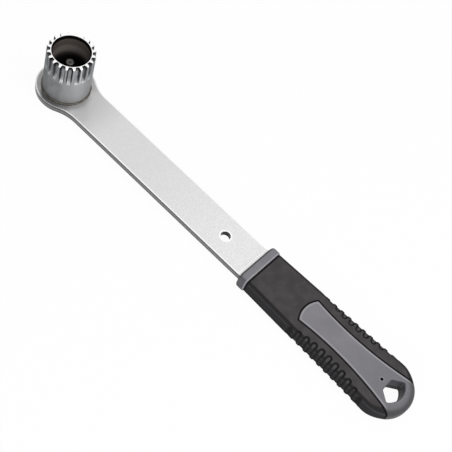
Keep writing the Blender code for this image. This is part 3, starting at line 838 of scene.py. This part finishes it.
def grey_nylon():
    """The handle's core: mid grey nylon, darker towards the tail. Painted light and shade: highlights along
    the inlay's edges and the collar's rear, shade on its rounds, round the loop, on the collar's front, low
    in the hang hole and in the pinhole.
    """
    finish = Finish("grey_nylon", metallic=0.0, grain=0.28 * MM, mottle=12 * MM, specular=0.4)
    mottle, sides = finish.grain["Mottle"], finish.sides
    along, height = finish.place["Along"], finish.place["Height"]
    base = mix(ramp(mottle, 0.3, 0.7), (0.178, 0.173, 0.190), (0.208, 0.202, 0.220))
    to_tail = ramp(along, WAIST_X, HANG_HOLE_START)
    base = mix(to_tail * 0.85, base, (0.148, 0.145, 0.158))
    # Painted shade: darker where the surface rounds away from the top.
    base = mix(ramp(sides["Upright"], 0.998, 0.80), base, (0.085, 0.083, 0.094))
    behind_collar = ramp(along, COLLAR_END, COLLAR_END + 1 * MM)
    outside = finish.on_place(INLAY_EDGE, INLAY_PLAN)["Outside"]
    # Painted highlight: a pale line just inside the inlay's edge on its flat faces.
    painted_inlay_highlight = band(outside, -1.1 * MM, -0.5 * MM, 0.25 * MM) * behind_collar
    base = mix(painted_inlay_highlight * sides["Flat"], base, (0.30, 0.295, 0.315))
    # Painted shade on the collar's front.
    front = ramp(along, HANDLE_START + 1.5 * MM, HANDLE_START + 0.9 * MM)
    base = mix(front, base, (0.022, 0.022, 0.025))
    # Painted highlight along the collar's rear edge.
    painted_rear_highlight = band(along, COLLAR_END - 1.0 * MM, COLLAR_END - 0.4 * MM, 0.2 * MM)
    base = mix(painted_rear_highlight, base, (0.31, 0.305, 0.325))
    from_tail = finish.from_point(TAIL_CENTRE)
    past_hole = ramp(along, TAIL_CENTRE, TAIL_CENTRE + 4 * MM)
    # Painted shade round the loop's outer rounding.
    outer = ramp(from_tail, 13.2 * MM, 18.0 * MM) * past_hole
    base = mix(outer, base, (0.045, 0.044, 0.050))
    # Painted shade: the hang hole's wall is near black low down.
    in_hole = sides["Wall"] * ramp(from_tail, 14.5 * MM, 13.5 * MM)
    in_hole = in_hole * ramp(along, HANG_HOLE_START - 1 * MM, HANG_HOLE_START)
    under = ramp(height, HANDLE_BOTTOM + 5.0 * MM, HANDLE_BOTTOM + 3.4 * MM)
    base = mix(in_hole * under, base, (0.004, 0.004, 0.005))
    from_pinhole = finish.from_point(PINHOLE_PLACE) - PINHOLE_DIAMETER / 2
    # A paler ring round the pinhole.
    pale_pinhole_ring = ramp(from_pinhole, 0.9 * MM, 0.5 * MM)
    base = mix(pale_pinhole_ring * 0.6, base, (0.27, 0.265, 0.285))
    # Painted shade inside the pinhole.
    pinhole_shade = ramp(from_pinhole, 0.1 * MM, 0.0)
    finish.feed("Base Color", mix(pinhole_shade, base, 0.004))
    finish.feed("Roughness", spread(mottle, 0.42, 0.52))
    finish.relief(finish.grain["Height"], 0.03 * MM, 0.5)
    return finish.material


def black_rubber():
    """The grip: soft black rubber with dust on its faces. Painted light and shade: its faces and rounds
    lighter, dark bands round its edges, in its grooves and parting lines, below its middle and behind the
    collar.
    """
    finish = Finish("black_rubber", metallic=0.0, grain=0.6 * MM, mottle=7 * MM, specular=0.05)
    mottle, upright = finish.grain["Mottle"], finish.sides["Upright"]
    # Dust and painted light: upward faces are lighter, a dark band of painted shade rounds each edge, a
    # painted sheen band lies lower on the rounds, and the walls are darker.
    dust_and_top_light = mix(ramp(mottle, 0.35, 0.68), (0.058, 0.053, 0.055), (0.076, 0.070, 0.072))
    side = mix(ramp(upright, 0.1, 0.45), (0.031, 0.031, 0.033), (0.054, 0.054, 0.057))
    edge = mix(ramp(upright, 0.5, 0.72), side, (0.024, 0.024, 0.025))
    base = mix(ramp(upright, 0.955, 0.9995), edge, dust_and_top_light)
    inside = finish.on_place(GROOVE_MARK, GROOVE_ROW)["Inside"]
    # Painted light: groove floors are lighter where they face up.
    floor = mix(ramp(upright, 0.5, 0.95), (0.036, 0.036, 0.038), (0.070, 0.070, 0.074))
    base = mix(ramp(inside, 0.9 * MM, 1.5 * MM), base, floor)
    # Painted shade: a near black band along each groove's wall.
    outline = band(inside, 0.15 * MM, 1.0 * MM, 0.5 * MM)
    outline = outline * spread(ramp(upright, 0.1, 0.6), 0.66, 0.72)
    base = mix(outline, base, (0.009, 0.009, 0.010))
    # Painted shade: the lower part of the grip is near black.
    below = ramp(finish.place["Height"], 0.2 * MM, -1.4 * MM)
    base = mix(below * 0.8, base, 0.005)
    # Painted shade on the rubber just behind the collar.
    behind_collar = ramp(finish.place["Along"], COLLAR_END + 1.3 * MM, COLLAR_END + 0.8 * MM)
    base = mix(behind_collar, base, 0.006)
    outside = finish.on_place(INLAY_EDGE, INLAY_PLAN)["Outside"]
    # Painted shade: the parting grooves are near black.
    parting = ramp(outside, PARTING_WIDTH + 0.15 * MM, PARTING_WIDTH - 0.05 * MM)
    finish.feed("Base Color", mix(parting, base, 0.004))
    finish.feed("Roughness", spread(mottle, 0.62, 0.78))
    finish.relief(finish.grain["Height"], 0.05 * MM, 0.6)
    return finish.material


# Arm


def upper_arm_half():
    """From the tang's end along the bar, round the neck's fillet and to the top of the head."""
    neck_y = BAR_HALF + NECK_FILLET
    neck_x = sqrt((HEAD_RADIUS + NECK_FILLET) ** 2 - neck_y**2)
    lean = atan2(neck_y, neck_x)
    tang = [(TANG_END, TANG_HALF), (TANG_START, TANG_HALF), (TANG_START, BAR_HALF)]
    neck = arc((neck_x, neck_y), NECK_FILLET, -pi / 2, lean - pi, 32)
    head = arc((0, 0), HEAD_RADIUS, lean, pi, 96)
    return tang + neck + head[1:-1] + [(-HEAD_RADIUS, 0)]


def anchor_places():
    return [(TANG_START + FIRST_ANCHOR + n * ANCHOR_PITCH, 0) for n in range(2)]


def make_arm():
    hole = circle((HOLE_PLACE, 0), HOLE_DIAMETER, 64)
    anchors = [circle(place, ANCHOR_DIAMETER, 32) for place in anchor_places()]
    plate = slab_mesh("dressed_arm", mirrored(upper_arm_half()), 0, ARM_THICKNESS, (hole, *anchors))
    arm = add_object("dressed_arm", plate)
    bevel(arm, ARM_EDGE_ROUND, segments=4, angle=60)
    bake(arm, 60)
    even_shading(arm)
    return arm


# Socket


def socket_profile():
    """(radius, height, wall) points round a closed section, closer together at its edges.

    Wall is 1 where the gaps are sunk.
    """
    pin_hole = PIN_RADIUS + CLEARANCE
    corner = arc((BORE_RADIUS - FLOOR_FILLET, FLOOR_Z + FLOOR_FILLET), FLOOR_FILLET, -pi / 2, 0, 8)
    points = [(pin_hole, SEAT_Z, 0), (pin_hole, FLOOR_Z, 0)]
    points += [(radius, height, 0) for radius, height in corner]
    points += [(BORE_RADIUS, z, 0) for z in between(FLOOR_Z + 3 * MM, RIM_Z - BORE_CHAMFER, 8)]
    points += [
        (BORE_RADIUS + BORE_CHAMFER * share, RIM_Z - BORE_CHAMFER * (1 - share), 0)
        for share in (0.08, 0.92, 1)
    ]
    points.append((BORE_RADIUS + BORE_CHAMFER + 0.08 * MM, RIM_Z, 0))
    points.append((SPLINE_RADIUS - TOOTH_CHAMFER - 0.08 * MM, RIM_Z, 1))
    points += [
        (SPLINE_RADIUS - TOOTH_CHAMFER * (1 - share), RIM_Z - TOOTH_CHAMFER * share, 1)
        for share in (0, 0.08, 0.5, 0.92, 1)
    ]
    foot = SPLINE_FOOT - 1 * MM
    points += [(SPLINE_RADIUS, z, 1) for z in between(RIM_Z - TOOTH_CHAMFER - 0.15 * MM, foot, 50)]
    points += [(SPLINE_RADIUS, z, 0) for z in between(foot - 1 * MM, SEAT_Z, 4)]
    return points


def make_socket(material):
    steps = SPLINE_COUNT * 28
    turns = full_turn(steps)
    profile = socket_profile()
    rings = [[(radius * cos(a), radius * sin(a), height) for a in turns] for radius, height, _ in profile]
    walls = [[wall] * steps for _, _, wall in profile]
    mesh = net_mesh("dressed_socket", rings, closed=True, marks={"wall": walls})
    socket = add_object("dressed_socket", mesh)
    run_tree(socket, spline_gap_tree(), {**spline_gap_sizes(), "Finish": material})
    bake(socket, 50)
    return socket


def make_braze():
    """A thin bead round the socket's foot, a little uneven as braze metal runs."""
    inner = SPLINE_RADIUS + CLEARANCE
    section = [(inner - BRAZE_OVERLAP, SEAT_Z + BRAZE_LEG), (inner - BRAZE_OVERLAP, SEAT_Z)]
    section += arc((inner + BRAZE_LEG, SEAT_Z + BRAZE_LEG), BRAZE_LEG, pi * 1.5, pi, 6)
    rings = []
    for radius, height in section:
        ring = []
        for a in full_turn(240):
            wave = 1 + 0.12 * sin(7 * a + 1) + 0.08 * sin(17 * a)
            reach = min((radius - inner) * wave, BRAZE_LEG) if radius > inner else radius - inner
            rise = min((height - SEAT_Z) * wave, BRAZE_LEG)
            ring.append(((inner + reach) * cos(a), (inner + reach) * sin(a), SEAT_Z + rise))
        rings.append(ring)
    return add_object("dressed_braze", net_mesh("dressed_braze", rings, closed=True))


def make_pin():
    """The guide pin, turned from its dimple over its crown down to its seat."""
    dimple = [
        (0, PIN_TOP - PIN_DIMPLE_DEPTH),
        (PIN_DIMPLE_DIAMETER / 4, PIN_TOP - PIN_DIMPLE_DEPTH * 0.55),
        (PIN_DIMPLE_DIAMETER / 2, PIN_TOP - 0.05 * MM),
        (PIN_DIMPLE_DIAMETER / 2 + 0.15 * MM, PIN_TOP),
    ]
    crown = arc((PIN_RADIUS - PIN_CHAMFER, PIN_TOP - PIN_CHAMFER), PIN_CHAMFER, pi / 2, 0, 6)
    profile = [*dimple, *crown, (PIN_RADIUS, SEAT_Z), (0, SEAT_Z)]
    pin = add_object("dressed_pin", turned_mesh("dressed_pin", profile, 96))
    bake(pin, 50)
    return pin


# Handle


def side_lean():
    """The angle at which the handle's sides spread from the collar to meet the round tail."""
    length = TAIL_CENTRE - HANDLE_START
    return asin(TAIL_RADIUS / hypot(length, HANDLE_FRONT_HALF)) - atan2(HANDLE_FRONT_HALF, length)


def handle_half_width(x):
    return HANDLE_FRONT_HALF + (x - HANDLE_START) * tan(side_lean())


def handle_outline(front, side_steps, tail_steps):
    """Points and outward normals round the handle's plan, from its far front corner round the tail."""
    side = pi / 2 + side_lean()
    join = TAIL_CENTRE + TAIL_RADIUS * cos(side)
    xs = between(front, join, side_steps)[:-1]
    far = [(x, handle_half_width(x), cos(side), sin(side)) for x in xs]
    turns = between(side, -side, tail_steps)
    tail = [(TAIL_CENTRE + TAIL_RADIUS * cos(a), TAIL_RADIUS * sin(a), cos(a), sin(a)) for a in turns]
    near = [(x, -y, normal_x, -normal_y) for x, y, normal_x, normal_y in reversed(far)]
    return far + tail + near


def handle_net(name, front, inset, half_thickness, detail):
    """The handle's pebble shape. detail gives side, tail, edge and wall steps, and face insets."""
    outline = handle_outline(front, detail["side"], detail["tail"])
    rounds = []
    for _, _, normal_x, _ in outline:
        towards_tail = min(max(normal_x, 0) * 1.5, 1)
        share = towards_tail * towards_tail * (3 - 2 * towards_tail)
        outer_round = SIDE_EDGE_ROUND + (TAIL_EDGE_ROUND - SIDE_EDGE_ROUND) * share
        rounds.append(max(outer_round - inset, CORE_EDGE_ROUND))
    levels = [(pi / 2, past) for past in reversed(detail["insets"])]
    levels += [(turn, 0) for turn in between(pi / 2, 0, detail["edge"])]
    rings = []
    travels = []

    def add_ring(side, turn, past, fall):
        ring = []
        travel = []
        for (x, y, normal_x, normal_y), edge in zip(outline, rounds):
            inwards = inset + (edge + EDGE_REACH) * (1 - cos(turn)) + past
            straight = half_thickness - edge
            up = straight * (1 - fall) + edge * sin(turn)
            along = x if abs(x - front) < 1e-9 else x - normal_x * inwards
            ring.append((along, y - normal_y * inwards, ARM_MIDDLE + side * up))
            mean_round = edge + EDGE_REACH / 2
            flat = abs(y) - edge - EDGE_REACH
            travel.append(flat - past + mean_round * (pi / 2 - turn) + straight * fall)
        rings.append(ring)
        travels.append(travel)

    for turn, past in levels:
        add_ring(1, turn, past, 0)
    for fall in between(0, 1, detail["wall"])[1:]:
        add_ring(1, 0, 0, fall)
    for fall in between(1, 0, detail["wall"])[1:-1]:
        add_ring(-1, 0, 0, fall)
    for turn, past in reversed(levels):
        add_ring(-1, turn, past, 0)
    return net_mesh(name, rings, marks={"travel": travels})


PLAIN = {"side": 12, "tail": 96, "edge": 10, "wall": 1, "insets": []}
GROOVED = {"side": 330, "tail": 72, "edge": 9, "wall": 9, "insets": [n * 0.35 * MM for n in range(1, 19)]}


def inlay_outline(grow, steps):
    """The inlay's plan: a rounded tip and hollow sides, carried on past the tail."""
    side_centre = INLAY_WAIST / 2 + INLAY_SIDE_RADIUS
    side_radius = INLAY_SIDE_RADIUS - grow
    tip_centre = INLAY_START + INLAY_TIP_RADIUS
    tip_radius = INLAY_TIP_RADIUS + grow
    end = HANDLE_END + CUT_PAST

    def side_y(x):
        return side_centre - sqrt(side_radius**2 - (x - WAIST_X) ** 2)

    corner = tip_centre - tip_radius
    for _ in range(30):
        corner = tip_centre - sqrt(tip_radius**2 - side_y(corner) ** 2)
    reach = asin(side_y(corner) / tip_radius)
    tip = arc((tip_centre, 0), tip_radius, pi, pi - reach, steps // 3)[1:]
    sides = [(x, side_y(x)) for x in between(corner, end, steps)[1:]]
    return mirrored([(tip_centre - tip_radius, 0), *tip, *sides])


def inlay_cutter(name, grow, bottom, top):
    cutter = add_cutter(name, slab_mesh(name, inlay_outline(grow, 72), bottom, top))
    bevel(cutter, INLAY_CORNER, segments=6, angle=40)
    return cutter


def soft_rectangle(half_width, half_height, steps):
    """A rectangle with the handle's soft corners, which are wider than they are high."""
    reach = SIDE_EDGE_ROUND + EDGE_REACH
    quarter = arc((0, 0), 1, 0, pi / 2, steps)
    corner = [
        (half_width - reach * (1 - out), half_height - SIDE_EDGE_ROUND * (1 - up)) for out, up in quarter
    ]
    upper = corner + [(-y, z) for y, z in reversed(corner)]
    return upper + [(y, -z) for y, z in reversed(upper)]


def collar_rings():
    half_width = HANDLE_FRONT_HALF + COLLAR_PROUD
    half_height = HANDLE_HALF + COLLAR_PROUD
    levels = []
    for turn in between(0, pi / 2, 8):
        along = HANDLE_START + COLLAR_FRONT_ROUND * (1 - cos(turn))
        levels.append((along, COLLAR_FRONT_ROUND * (1 - sin(turn))))
    for turn in between(0, pi / 2, 5):
        along = COLLAR_END - COLLAR_REAR_ROUND * (1 - sin(turn))
        levels.append((along, COLLAR_REAR_ROUND * (1 - cos(turn))))
    rings = []
    for x, inset in levels:
        section = soft_rectangle(half_width - inset, half_height - inset, 12)
        rings.append([(x, y, ARM_MIDDLE + z) for y, z in section])
    return rings


def core_form(name, front, grow):
    """The core under the rubber, which is the handle's form drawn in by the rubber's walls."""
    inset = GRIP_SIDE_WALL + CLEARANCE - grow
    half_thickness = HANDLE_HALF - GRIP_FACE_WALL - CLEARANCE + grow
    return add_cutter(name, handle_net(name, front, inset, half_thickness, PLAIN))


def hang_hole_outline():
    half_flat = HANG_HOLE_FLAT / 2
    spread = asin(HANG_HOLE_SPREAD / 2 / HANG_ARC_RADIUS)
    round_end = arc((TAIL_CENTRE, 0), HANG_ARC_RADIUS, spread, -spread, 18)
    return [(HANG_HOLE_START, -half_flat), (HANG_HOLE_START, half_flat), *round_end]


def rounded_corners(outline, radius, steps):
    """Replaces each sharp corner of an outline by an arc tangent to its two sides."""
    rounded = []
    for before, corner, after in zip(outline[-1:] + outline[:-1], outline, outline[1:] + outline[:1]):
        here = Vector(corner)
        back = (Vector(before) - here).normalized()
        ahead = (Vector(after) - here).normalized()
        half = back.angle(ahead) / 2
        if half > radians(75):
            rounded.append(here)
            continue
        centre = here + (back + ahead).normalized() * radius / sin(half)
        first = here + back * radius / tan(half) - centre
        last = here + ahead * radius / tan(half) - centre
        for step in range(steps + 1):
            rounded.append(centre + first.lerp(last, step / steps).normalized() * radius)
    return rounded


def grown(outline, distance):
    """A clockwise outline moved outwards, with its corners kept."""
    moved = []
    for before, here, after in zip(outline[-1:] + outline[:-1], outline, outline[1:] + outline[:1]):
        first = (here - before).orthogonal().normalized()
        second = (after - here).orthogonal().normalized()
        moved.append(here + (first + second) * distance / (1 + first.dot(second)))
    return moved


def hang_hole_rings():
    """The hang hole's outline at each height: straight through the loop, and rounded at both faces."""
    outline = rounded_corners(hang_hole_outline(), HANG_HOLE_CORNER, 8)
    face = HANDLE_HALF + INLAY_PROUD + CUT_OVER
    levels = [(face + CUT_PAST, HANG_HOLE_EDGE_ROUND)]
    for turn in between(pi / 2, 0, 8):
        depth = HANG_HOLE_EDGE_ROUND * (1 - sin(turn))
        levels.append((face - depth, HANG_HOLE_EDGE_ROUND * (1 - cos(turn))))
    levels += [(-height, growth) for height, growth in reversed(levels)]
    rings = []
    for height, growth in levels:
        rings.append([(*point, ARM_MIDDLE + height) for point in grown(outline, growth)])
    return rings


def make_core():
    pebble = handle_net("dressed_core", COLLAR_END, 0, HANDLE_HALF + INLAY_PROUD, PLAIN)
    core = add_object("dressed_core", pebble)
    boolean(core, "INTERSECT", inlay_cutter("inlay_block", 0, BELOW_HANDLE, ABOVE_HANDLE))
    bake(core)
    bevel(core, INLAY_EDGE_ROUND, segments=3, angle=50)
    bake(core)
    boolean(core, "UNION", core_form("core_body", COLLAR_END - BURIED, 0))
    boolean(core, "UNION", add_cutter("collar_block", net_mesh("collar_block", collar_rings())))
    fit_bar = BAR_HALF + CLEARANCE
    fit_tang = TANG_HALF + CLEARANCE
    pocket = [
        (TANG_END + CLEARANCE, fit_tang),
        (TANG_START + CLEARANCE, fit_tang),
        (TANG_START + CLEARANCE, fit_bar),
        (HANDLE_START - CUT_PAST, fit_bar),
    ]
    cavity = slab_mesh("tang_pocket", mirrored(pocket), -CLEARANCE, ARM_THICKNESS + CLEARANCE)
    boolean(core, "DIFFERENCE", add_cutter("tang_pocket", cavity))
    for number, place in enumerate(anchor_places()):
        post = slab_mesh(
            f"anchor_post_{number + 1}",
            circle(place, ANCHOR_DIAMETER - 2 * CLEARANCE, 32),
            -CLEARANCE - BURIED,
            ARM_THICKNESS + CLEARANCE + BURIED,
        )
        boolean(core, "UNION", add_cutter(post.name, post))
    hang_hole = net_mesh("hang_hole_cutter", hang_hole_rings())
    boolean(core, "DIFFERENCE", add_cutter("hang_hole_cutter", hang_hole))
    pinhole = slab_mesh(
        "pinhole_cutter",
        circle((PINHOLE_PLACE, 0), PINHOLE_DIAMETER, 32),
        HANDLE_TOP + INLAY_PROUD - PINHOLE_DEPTH,
        ABOVE_HANDLE,
    )
    boolean(core, "DIFFERENCE", add_cutter("pinhole_cutter", pinhole))
    bake(core)
    even_shading(core)
    return core


def make_grip(material):
    front = COLLAR_END + CLEARANCE
    grip = add_object("dressed_grip", handle_net("dressed_grip", front, 0, HANDLE_HALF, GROOVED))
    run_tree(grip, finger_groove_tree(), {**GROOVE_CUT, "Finish": material})
    bake(grip)
    boolean(grip, "DIFFERENCE", core_form("core_room", COLLAR_END - BURIED, CLEARANCE))
    boolean(grip, "DIFFERENCE", inlay_cutter("inlay_window", CLEARANCE, BELOW_HANDLE, ABOVE_HANDLE))
    upper = HANDLE_TOP - PARTING_DEPTH
    lower = HANDLE_BOTTOM + PARTING_DEPTH
    boolean(grip, "DIFFERENCE", inlay_cutter("upper_parting_groove", PARTING_WIDTH, upper, ABOVE_HANDLE))
    boolean(grip, "DIFFERENCE", inlay_cutter("lower_parting_groove", PARTING_WIDTH, BELOW_HANDLE, lower))
    bake(grip, 50)
    even_shading(grip)
    return grip


def dress(piece, material, node):
    piece.data.materials.clear()
    piece.data.materials.append(material)
    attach(piece, "root")
    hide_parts(node)


rubber = black_rubber()
steel = turned_steel()
arm = make_arm()
socket = make_socket(steel)
braze = make_braze()
pin = make_pin()
core = make_core()
grip = make_grip(rubber)
clear_cutters()

dress(arm, satin_plate(), "arm")
dress(socket, steel, "socket")
dress(braze, heat_dark_braze(), "braze_fillet")
dress(pin, pin_steel(), "guide_pin")
dress(core, grey_nylon(), "handle_core")
dress(grip, rubber, "grip")


# Studio


def ray_masks(tree):
    """1 for what the camera sees itself, and 1 for what shows in gloss or through glass."""
    path = add_node(tree, "ShaderNodeLightPath")
    shown = maths("MAXIMUM", Output(path, "Is Glossy Ray"), Output(path, "Is Transmission Ray"))
    return Output(path, "Is Camera Ray"), shown


def seen_white(name, diffuse, camera_share, gloss_share):
    """White to the camera, to gloss and to glass, over a plain surface that still takes a shadow."""
    material = bpy.data.materials.new(name)
    material.use_nodes = True
    tree = material.node_tree
    tree.nodes.remove(tree.nodes["Principled BSDF"])
    seen, shown = ray_masks(tree)
    share = maths("MAXIMUM", seen * camera_share, shown * gloss_share)
    plain = Output(add_node(tree, "ShaderNodeBsdfDiffuse", {"Color": (*diffuse, 1.0)}))
    glow = Output(add_node(tree, "ShaderNodeEmission", {"Color": (1, 1, 1, 1), "Strength": 1.0}))
    mixed = Output(add_node(tree, "ShaderNodeMixShader", {0: share, 1: plain, 2: glow}))
    tree.links.new(mixed.socket, tree.nodes["Material Output"].inputs["Surface"])
    return material


def make_floor():
    """A pale floor just under the tool, centred near the handle's front."""
    reach = 1.6
    middle = 0.15
    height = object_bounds()[0][2] - 0.05 * MM
    plan = ((-reach, -reach), (reach, -reach), (reach, reach), (-reach, reach))
    mesh = bpy.data.meshes.new("studio_floor")
    mesh.from_pydata([(x + middle, y, height) for x, y in plan], [], [(0, 1, 2, 3)])
    floor = add_object("studio_floor", mesh)
    pale = seen_white("pale_floor", diffuse=(0.95, 0.95, 0.95), camera_share=0.96, gloss_share=0.4)
    floor.data.materials.append(pale)


def make_world():
    """White where it is seen, and dimmer as a light."""
    world = bpy.data.worlds.new("studio")
    world.use_nodes = True
    tree = world.node_tree
    background = tree.nodes["Background"]
    lit = 0.42
    strength = lit + maths("MAXIMUM", *ray_masks(tree)) * (1 - lit)
    tree.links.new(strength.socket, background.inputs["Strength"])
    background.inputs["Color"].default_value = (1, 1, 1, 1)
    bpy.context.scene.world = world


def softbox(name, place, target, size, power):
    lamp = bpy.data.lights.new(name, "AREA")
    lamp.shape = "RECTANGLE"
    lamp.size, lamp.size_y = size
    lamp.energy = power
    holder = add_object(name, lamp)
    holder.location = place
    holder.visible_camera = False
    holder.rotation_euler = (Vector(target) - Vector(place)).to_track_quat("-Z", "Y").to_euler()


def make_camera():
    """The photograph's viewpoint, solved from the tool's own edges and the socket's rims."""
    lens = bpy.data.cameras.new("camera")
    lens.lens = 81.34
    lens.sensor_width = 36
    lens.clip_start = 0.01
    camera = add_object("camera", lens)
    camera.location = (0.284207, -0.329529, 0.548221)
    camera.rotation_euler = [radians(angle) for angle in (31.3252, -13.1762, 43.1225)]
    bpy.context.scene.camera = camera


make_floor()
make_world()
softbox("main_softbox", place=(0.75, 0.15, 1.05), target=(0.15, 0.0, 0.0), size=(0.8, 0.8), power=8)
softbox("near_softbox", place=(0.45, -0.78, 0.46), target=(0.05, 0.0, 0.02), size=(0.3, 0.3), power=1.8)
make_camera()

bpy.context.scene.view_settings.view_transform = "Standard"
